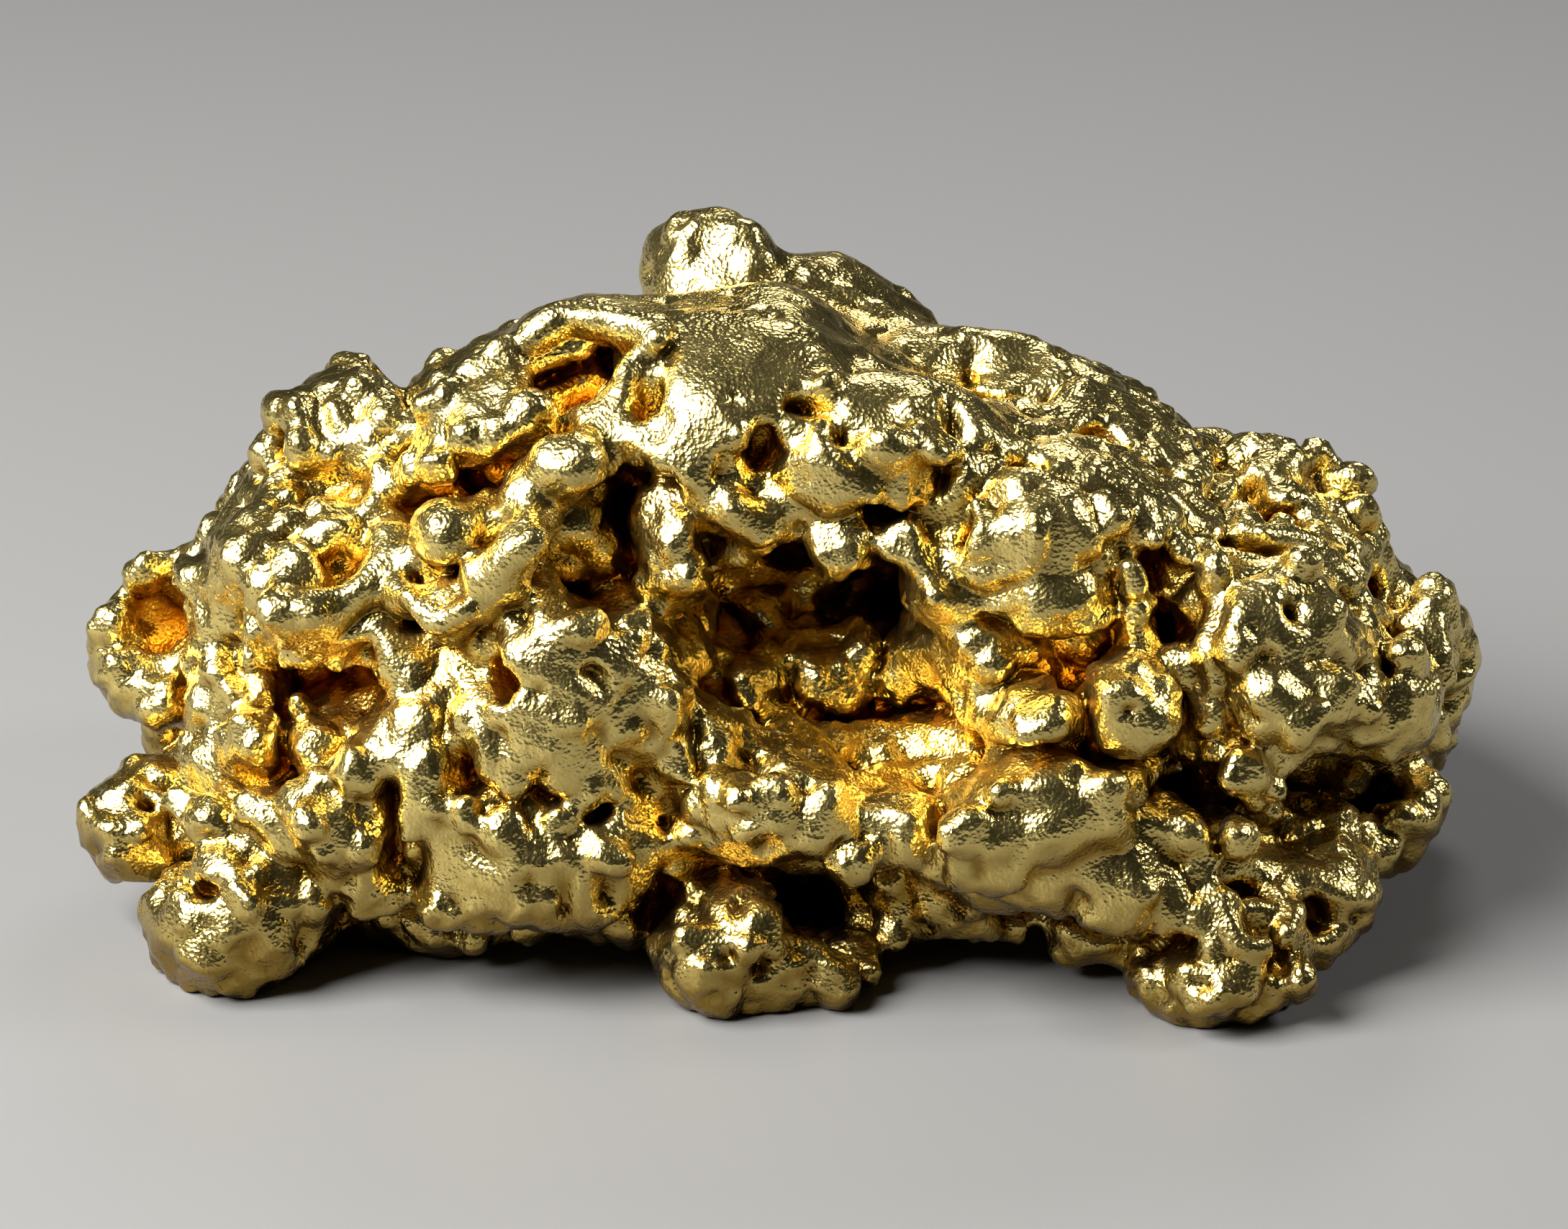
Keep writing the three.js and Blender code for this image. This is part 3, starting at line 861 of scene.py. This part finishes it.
def calm_zones(clay):
    """1 where the skin was hammered smooth, 0 where it stayed spongy."""
    x, y, z = (clay.place(axis) for axis in range(3))
    calm = CALM_PATCHES * step_up(lumps(clay, PATCH_SPACING, 2), PATCH_START, PATCH_END)
    calm = np.maximum(calm, CALM_TOP * step_up(z, TOP_START, TOP_END))
    up = y[:, None] * FACE_UP.y + z[None, :] * FACE_UP.z
    inward = y[:, None] * FACE_IN.y + z[None, :] * FACE_IN.z
    front = step_up(-inward, 0, FRONT_DEPTH)
    for across, height, radius in CALM:
        level = ((up - height) / radius) ** 2
        side = ((x - across) / radius) ** 2
        patch = np.exp(-((side[:, None, None] + level[None]) ** 2)) * front[None]
        calm = np.maximum(calm, patch.astype(np.float32))
    return calm


def ridge_rise(thick):
    """How far a ridge's middle stands out of the skin: thick ridges stand prouder."""
    return max(THIN_RISE * thick, THICK_RISE * thick - THICK_SINK)


def work_face(clay):
    """The caves, lobes, ridges and pits of the steep face, as listed. The result is how far
    each cell should be left alone from here on, 0 to 1, and the ridges and pits again, each as
    a tool and its settings."""
    for across, up, wide, high, deep, turn in CAVES:
        place, out = on_face(clay, across, up)
        centre = place - out * CAVE_SINK * deep
        cut_egg(clay, centre, (wide, high, deep), out, math.radians(turn), CAVE_SOFT)
    before = clay.values.copy()
    for across, up, wide, high, proud, turn in KNOBS:
        place, out = on_face(clay, across, up)
        deep = max(proud, KNOB_DEPTH * min(wide, high))
        centre = place + out * (proud - deep)
        add_egg(clay, centre, (wide, high, deep), out, math.radians(turn), KNOB_SOFT)
    knobbed = clay.values.copy()
    marks = []

    def mark(tool, *settings):
        marks.append((tool, settings))
        tool(clay, *settings)

    for thick, *spots in RIDGES:
        points = []
        for across, up in spots:
            place, out = on_face(clay, across, up)
            points.append(place + out * ridge_rise(thick))
        mark(add_worm, points, thick, RIDGE_SOFT)
    for across, up, wide, high, deep, turn, lip in PITS:
        place, out = on_face(clay, across, up)
        centre = place - out * PIT_SINK * deep
        halves = (wide * PIT_GROWTH, high * PIT_GROWTH, PIT_DEPTH * deep)
        mark(cut_egg, centre, halves, out, math.radians(turn), PIT_SOFT, lip)
    lobed = np.clip(np.abs(clay.values - before) / CHANGE, 0, LOBE_CALM)
    marked = np.clip(np.abs(clay.values - knobbed) / CHANGE, 0, MARK_CALM)
    return np.maximum(lobed, marked), marks


# ---------------------------------------------------------------- the nugget

MELT = 0.16  # the first blur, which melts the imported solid's facets together
MADE_BLUR = 0.1  # blurs the borders of what the listed tools made
SWELL_HEIGHT, SWELL_SPACING = 0.1, 1.1  # slow swells of the whole mass
# Unevenness of the tools' outlines: how much, how far apart, and each one's own seed.
UNEVEN = [(0.8, 0.24, 7), (0.6, 0.5, 8)]
# The sponge's random field: how much, how far apart, and each part's own seed.
WEAVE = [(1, 0.42, 3), (0.3, 0.22, 4)]
LIP_WIDTH, LIP_HEIGHT = 0.5, 0.05
SINK_START, SINK_END, SINK_DEPTH = 0.2, 1.4, 0.38
EDGE = 0.1  # least radius of an edge or a tip
# Hammer marks: how deep, how far apart, how wide their edges are, and their own seed.
HAMMER = [(0.12, 0.18, 0.7, 5), (0.05, 0.34, 0.5, 6)]
HAMMER_CALM = 0.65  # how much shallower they are where it is calm
POLISH = 0.045  # the last blur
FOOT_SOFT = 0.05  # roundness of the edge where the feet are worn flat

# What is sown: spacing, smallest and largest half-size, and seed.
SOWN_LUMPS = (0.48, 0.1, 0.26, 2)
SOWN_PITS = (0.8, 0.1, 0.24, 1)
SOWN_PORES = (0.9, 0.045, 0.085, 3)
# How much a plug's half-sizes are stretched, two along the skin and one out of it: the
# least, and the most.
LUMP_STRETCH = ((0.8, 0.8, 0.6), (1.4, 1.0, 0.9))
PIT_STRETCH = ((0.8, 0.8, 1.0), (1.5, 1.0, 1.8))
PORE_STRETCH = np.array((1, 1, 2))
LUMP_SINK = (0.4, 0.75)  # a lump's middle is this many half-sizes under the skin
MOST_TURN = 6  # how far a lump or a pit may be turned: in radians, nearly all the way
# A lump or a pit is left out where the calm beats a random draw between these.
LUMPS_SPARED = (0.2, 1.0)
PITS_SPARED = (0.1, 0.8)
SOWN_SOFT, PORE_SOFT = 0.08, 0.03
SOWN_LIP, PORE_LIP = 0.03, 0.02


def raise_sponge(clay, calm):
    """Where one slow random field dips below zero the skin sinks into an irregular
    pit, and along zero it stands up in a lip, but less where it is calm."""
    weave = sum(share * lumps(clay, spacing, seed) for share, spacing, seed in WEAVE)
    lip = np.exp(-((weave / LIP_WIDTH) ** 2))
    sunk = step_up(-weave, SINK_START, SINK_END)
    clay.values -= (1 - calm) * (LIP_HEIGHT * lip - SINK_DEPTH * sunk)


def sow_skin(clay, calm, finish):
    """Sows the skin with lumps, pits and pores. Calm stretches get few lumps and pits."""
    tree = sowing_tree()
    skin = mesh_object("skin", *mesh_arrays(clay))
    random = np.random.default_rng(SEED)
    still = smear(calm, MADE_BLUR)

    def spared(place, least, most):
        return clay.sample(still, place[None])[0] > random.uniform(least, most)

    for place, out in sown(skin, tree, *SOWN_LUMPS, finish):
        if spared(place, *LUMPS_SPARED):
            continue
        halves = np.linalg.norm(out) * random.uniform(*LUMP_STRETCH)
        centre = Vector(place) - Vector(out) * random.uniform(*LUMP_SINK)
        add_egg(clay, centre, halves, Vector(out), random.uniform(0, MOST_TURN), SOWN_SOFT)
    for place, out in sown(skin, tree, *SOWN_PITS, finish):
        if spared(place, *PITS_SPARED):
            continue
        halves = np.linalg.norm(out) * random.uniform(*PIT_STRETCH)
        turn = random.uniform(0, MOST_TURN)
        cut_egg(clay, Vector(place), halves, Vector(out), turn, SOWN_SOFT, SOWN_LIP)
    for place, out in sown(skin, tree, *SOWN_PORES, finish):
        halves = np.linalg.norm(out) * PORE_STRETCH
        cut_egg(clay, Vector(place), halves, Vector(out), 0, PORE_SOFT, PORE_LIP)
    bpy.data.objects.remove(skin)


def hammer(clay, calm):
    """Dents the skin all over, with sharp creases between round-backed bumps."""
    dents = sum(
        depth * np.tanh(np.abs(lumps(clay, spacing, seed)) / width)
        for depth, spacing, width, seed in HAMMER
    )
    clay.values -= (1 - HAMMER_CALM * calm) * dents


def thinned(thing, faces):
    """Thins a mesh of four-sided faces to about TRIANGLES triangles."""
    thin = thing.modifiers.new("thin", "DECIMATE")
    thin.ratio = TRIANGLES / (2 * faces)
    settled(thing)


HOLLOW_BLUR, HOLLOW_GAIN = 0.6, 3  # how wide a hollow is felt, and how fast it counts
CREASE_BLUR, CREASE_GAIN = 0.12, 5  # the same for a crease
UNDER_START, UNDER_SPAN, UNDER_SHARE = 0.25, 0.9, 0.9  # painted shade on what faces down
LOW_HEIGHT, LOW_SHARE = 3, 0.65  # painted shade near the base, up to this height


def normals_and_painted_shade(clay, thing):
    """Shades a thinned mesh by the slope of its clay, and marks how deep in a hollow each point
    lies and how much painted shade darkens it there: in creases, on what faces down and near
    the base."""
    metal = (clay.values < 0).astype(np.float32)
    places = vertex_places(thing)
    slope = clay_slope(clay, places)
    thing.data.normals_split_custom_set_from_vertices(slope)
    # how deep in a hollow a point lies, which the gold turns into painted shade and bounced
    # light
    hollow = (clay.sample(smear(metal, HOLLOW_BLUR), places) - 0.5) * HOLLOW_GAIN
    crease = (clay.sample(smear(metal, CREASE_BLUR), places) - 0.5) * CREASE_GAIN
    under = (UNDER_START - slope[:, 2]) / UNDER_SPAN
    low = 1 - places[:, 2] / LOW_HEIGHT
    # painted shade: darker in creases, on what faces down and near the base
    painted_shade = np.clip(crease, 0, 1)
    painted_shade += UNDER_SHARE * np.clip(under, 0, 1) + LOW_SHARE * np.clip(low, 0, 1)
    for name, values in (("hollow", hollow), ("painted_shade", painted_shade)):
        mark = thing.data.attributes.new(name, "FLOAT", "POINT")
        mark.data.foreach_set("value", np.clip(values, 0, 1).astype(np.float32))


def gold_nugget(finish):
    """The whole nugget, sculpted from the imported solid."""
    clay = clay_from("nugget")
    clay.values = smear(clay.values, MELT)
    calm = calm_zones(clay)
    clay.ragged = sum(share * lumps(clay, spacing, seed) for share, spacing, seed in UNEVEN)
    clay.values -= SWELL_HEIGHT * lumps(clay, SWELL_SPACING, 1)
    made, marks = work_face(clay)
    calm = np.maximum(calm, smear(made, MADE_BLUR))
    raise_sponge(clay, calm)
    sow_skin(clay, calm, finish)
    for tool, settings in marks:
        tool(clay, *settings)
    clay.values = worn(clay, EDGE)
    hammer(clay, calm)
    clay.values = smear(clay.values, POLISH)
    under_floor = -clay.place(2)[None, None, :]
    clay.values = blend_high(clay.values, under_floor, FOOT_SOFT)

    points, quads = largest_shell(*mesh_arrays(clay))
    nugget = mesh_object("gold_nugget", points, quads)
    thinned(nugget, len(quads))
    normals_and_painted_shade(clay, nugget)
    nugget.data.materials.clear()
    nugget.data.materials.append(finish)
    return nugget


# ---------------------------------------------------------------- the gold

# Linear colours: the crests, the flanks and the depths of hollows, where on the way down the
# last two stand, and the tint that painted shade multiplies them towards.
PALE_GOLD = (0.81, 0.64, 0.22, 1)
WARM_GOLD = (0.76, 0.55, 0.14, 1)
SHADED_DEEP_GOLD = (0.63, 0.34, 0.05, 1)
WARM_AT, DEEP_AT = 0.35, 0.9
PAINTED_SHADE_TINT = (0.32, 0.25, 0.14, 1)
# Patches of more and less burnished metal: how many in a metre, and their roughness.
PATCHES, BURNISHED, SATIN = 1400, 0.18, 0.32
# Fine hammer marks and sand grain: how many in a metre, and how deep in metres.
FINE_MARKS, FINE_DEPTH = 9000, 0.000018
GRAINS, GRAIN_DEPTH = 17000, 0.000009


def native_gold(material):
    """Bare native gold: pale on the crests, and deep orange in the hollows as painted shade and
    bounced light.
    """
    material.use_nodes = True
    tree = material.node_tree
    shader = tree.nodes["Principled BSDF"]
    shader.inputs["Metallic"].default_value = 1.0

    def node(kind, **inputs):
        made = tree.nodes.new(kind)
        for name, value in inputs.items():
            made.inputs[name.replace("_", " ")].default_value = value
        return made

    def mark(name):
        made = tree.nodes.new("ShaderNodeAttribute")
        made.attribute_name = name
        return made.outputs["Fac"]

    link = tree.links.new
    place = tree.nodes.new("ShaderNodeTexCoord").outputs["Object"]

    # painted shade and bounced light: the colour runs darker and oranger the deeper a point
    # lies in a hollow
    ramp = tree.nodes.new("ShaderNodeValToRGB")
    ramp.color_ramp.elements[0].color = PALE_GOLD
    ramp.color_ramp.elements[1].position = DEEP_AT
    ramp.color_ramp.elements[1].color = SHADED_DEEP_GOLD
    ramp.color_ramp.elements.new(WARM_AT).color = WARM_GOLD
    link(mark("hollow"), ramp.inputs["Fac"])
    # painted shade: the colour is multiplied darker in creases, on what faces down and near the
    # base
    shaded = tree.nodes.new("ShaderNodeMix")
    shaded.data_type = "RGBA"
    shaded.blend_type = "MULTIPLY"
    link(mark("painted_shade"), shaded.inputs["Factor"])
    link(ramp.outputs["Color"], shaded.inputs["A"])
    shaded.inputs["B"].default_value = PAINTED_SHADE_TINT
    link(shaded.outputs["Result"], shader.inputs["Base Color"])

    rough = node("ShaderNodeTexNoise", Scale=PATCHES, Detail=3)
    link(place, rough.inputs["Vector"])
    span = node("ShaderNodeMapRange", To_Min=BURNISHED, To_Max=SATIN)
    link(rough.outputs["Fac"], span.inputs["Value"])
    link(span.outputs["Result"], shader.inputs["Roughness"])

    marks = node("ShaderNodeTexNoise", Scale=FINE_MARKS, Detail=2)
    link(place, marks.inputs["Vector"])
    dents = node("ShaderNodeBump", Strength=1, Distance=FINE_DEPTH)
    link(marks.outputs["Fac"], dents.inputs["Height"])
    sand = node("ShaderNodeTexVoronoi", Scale=GRAINS)
    link(place, sand.inputs["Vector"])
    grain = node("ShaderNodeBump", Strength=1, Distance=GRAIN_DEPTH)
    link(sand.outputs["Distance"], grain.inputs["Height"])
    link(dents.outputs["Normal"], grain.inputs["Normal"])
    link(grain.outputs["Normal"], shader.inputs["Normal"])
    return material


gold = native_gold(bpy.data.materials.new("native_gold_painted_shade"))
nugget = gold_nugget(gold)
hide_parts("nugget")
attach(nugget, "root")


# ---------------------------------------------------------------- studio

MIDDLE = (cad_box[0] + cad_box[1]) / 2
LENGTH = (cad_box[1] - cad_box[0]).x
FLOOR_EDGE = 40  # from the nugget to the floor's edge, in nugget lengths
FLOOR_PAINT, FLOOR_ROUGHNESS = (0.19, 0.187, 0.181, 1), 0.6
# Square lamps: place and size in nugget lengths, and power in watts.
LAMPS = {
    "key": ((-3.6, -1.7, 4.0), 3.6, 0.46),
    "side": ((4.6, 0.4, 3.2), 1.2, 0.045),
    "back": ((0.8, 4.5, 4.0), 1.6, 0.03),
}
SKY, SKY_STRENGTH = (0.9, 0.95, 1, 1), 0.012
# The camera looks straight into the steep face, from this far, and sees this wide.
TARGET = Vector((0.00005, -0.0003, 0.00395))
DISTANCE, WIDE, SENSOR = 0.075, 0.02279, 36
CLIP_NEAR, CLIP_FAR = 0.1, 200  # in nugget lengths


def pale_floor():
    """A plain pale floor under the nugget."""
    edge = FLOOR_EDGE * LENGTH
    mesh = bpy.data.meshes.new("floor")
    corners = [(-edge, -edge, 0), (edge, -edge, 0), (edge, edge, 0), (-edge, edge, 0)]
    mesh.from_pydata(corners, [], [(0, 1, 2, 3)])
    floor = bpy.data.objects.new("floor", mesh)
    bpy.context.scene.collection.objects.link(floor)
    paint = bpy.data.materials.new("pale_floor")
    paint.use_nodes = True
    shader = paint.node_tree.nodes["Principled BSDF"]
    shader.inputs["Base Color"].default_value = FLOOR_PAINT
    shader.inputs["Roughness"].default_value = FLOOR_ROUGHNESS
    mesh.materials.append(paint)


def soft_light(name, place, size, power):
    """A square lamp, aimed at the nugget."""
    lamp = bpy.data.lights.new(name, "AREA")
    lamp.size = size * LENGTH
    lamp.energy = power
    thing = bpy.data.objects.new(name, lamp)
    bpy.context.scene.collection.objects.link(thing)
    thing.location = MIDDLE + Vector(place) * LENGTH
    thing.rotation_euler = (MIDDLE - thing.location).to_track_quat("-Z", "Y").to_euler()


def camera():
    """The camera, square to the steep face."""
    lens = bpy.data.cameras.new("camera")
    lens.sensor_width = SENSOR
    lens.clip_start = CLIP_NEAR * LENGTH
    lens.clip_end = CLIP_FAR * LENGTH
    lens.lens = DISTANCE / WIDE * lens.sensor_width
    eye = bpy.data.objects.new("camera", lens)
    bpy.context.scene.collection.objects.link(eye)
    eye.location = TARGET - FACE_IN * DISTANCE
    eye.rotation_euler = FACE_IN.to_track_quat("-Z", "Y").to_euler()
    bpy.context.scene.camera = eye


def studio():
    """The floor, the lamps and a dim sky."""
    pale_floor()
    for name, settings in LAMPS.items():
        soft_light(name, *settings)
    world = bpy.data.worlds.new("studio")
    world.use_nodes = True
    sky = world.node_tree.nodes["Background"]
    sky.inputs["Color"].default_value = SKY
    sky.inputs["Strength"].default_value = SKY_STRENGTH
    bpy.context.scene.world = world
    bpy.context.scene.view_settings.view_transform = "Standard"


camera()
studio()
